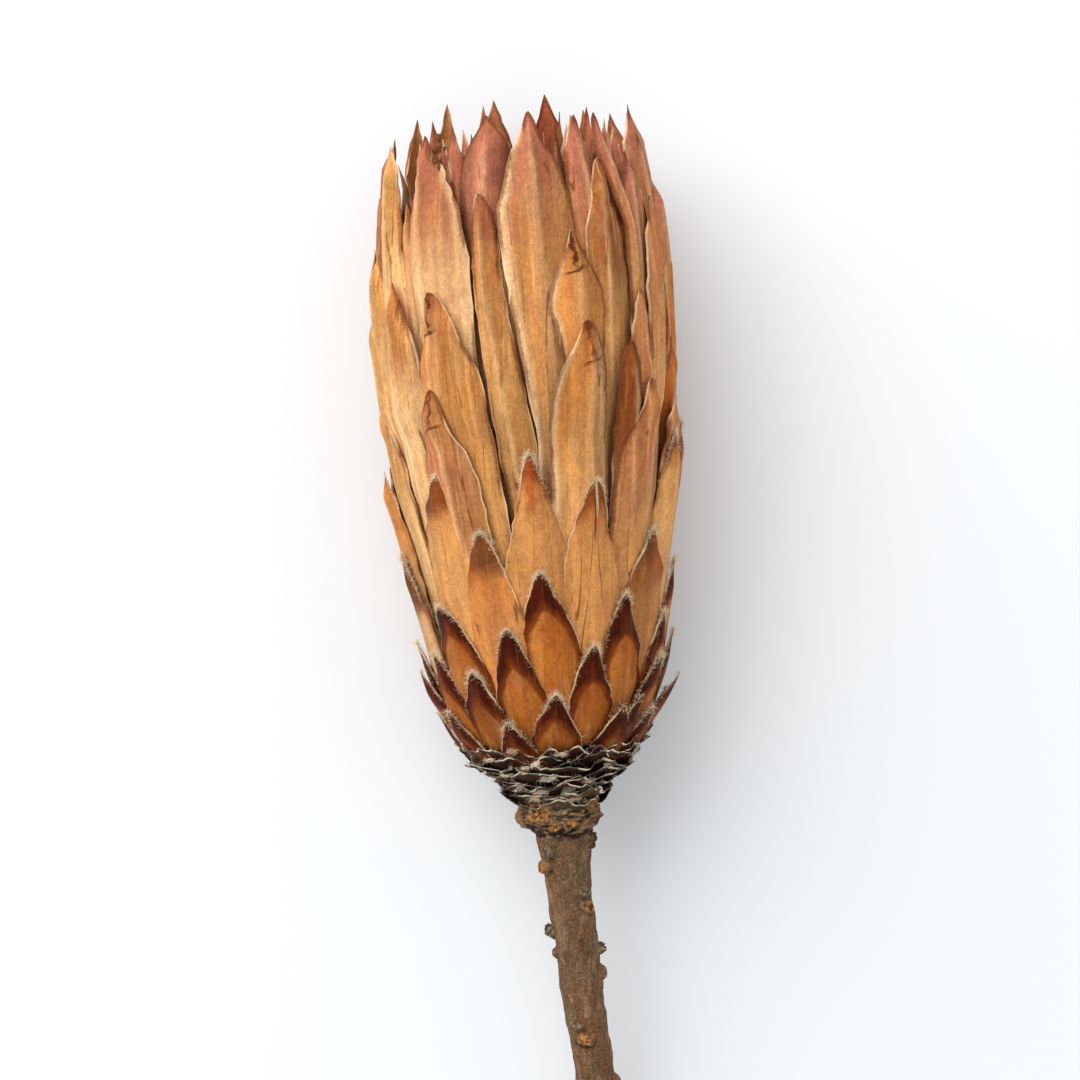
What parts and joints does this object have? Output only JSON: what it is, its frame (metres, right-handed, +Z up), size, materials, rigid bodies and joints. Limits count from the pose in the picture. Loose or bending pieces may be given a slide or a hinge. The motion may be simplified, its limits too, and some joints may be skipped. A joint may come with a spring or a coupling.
{
  "type": "dried protea flower head on a cut stem",
  "caption": "Dried goblet-shaped protea head of overlapping bracts, dark-edged at the base and tan above, on a short woody stem.",
  "frame": {"origin": "on the surface it lies on, under the centre of its bounding box", "axes": "+Z up, +Y towards the tip of the flower head, stem towards -Y"},
  "size_m": [0.0476, 0.2118, 0.0481],
  "materials": {
    "bark": "matt grey-brown bark with small pale pores and orange scars",
    "withered_scale": "brittle black-brown scales with pale edges",
    "dark_bract": "dry bracts, dark red-brown at the edge and golden inside, with pale hair at the tip",
    "tan_bract": "papery tan bracts with fine lengthwise fibres, pink-brown towards the tip",
    "floret": "dry pale-haired florets"
  },
  "bodies": {
    "root": {"stem": "bark", "neck_scales": "withered_scale", "outer_bracts": "dark_bract", "tall_bracts": "tan_bract", "florets": "floret"}
  },
  "joints": []
}
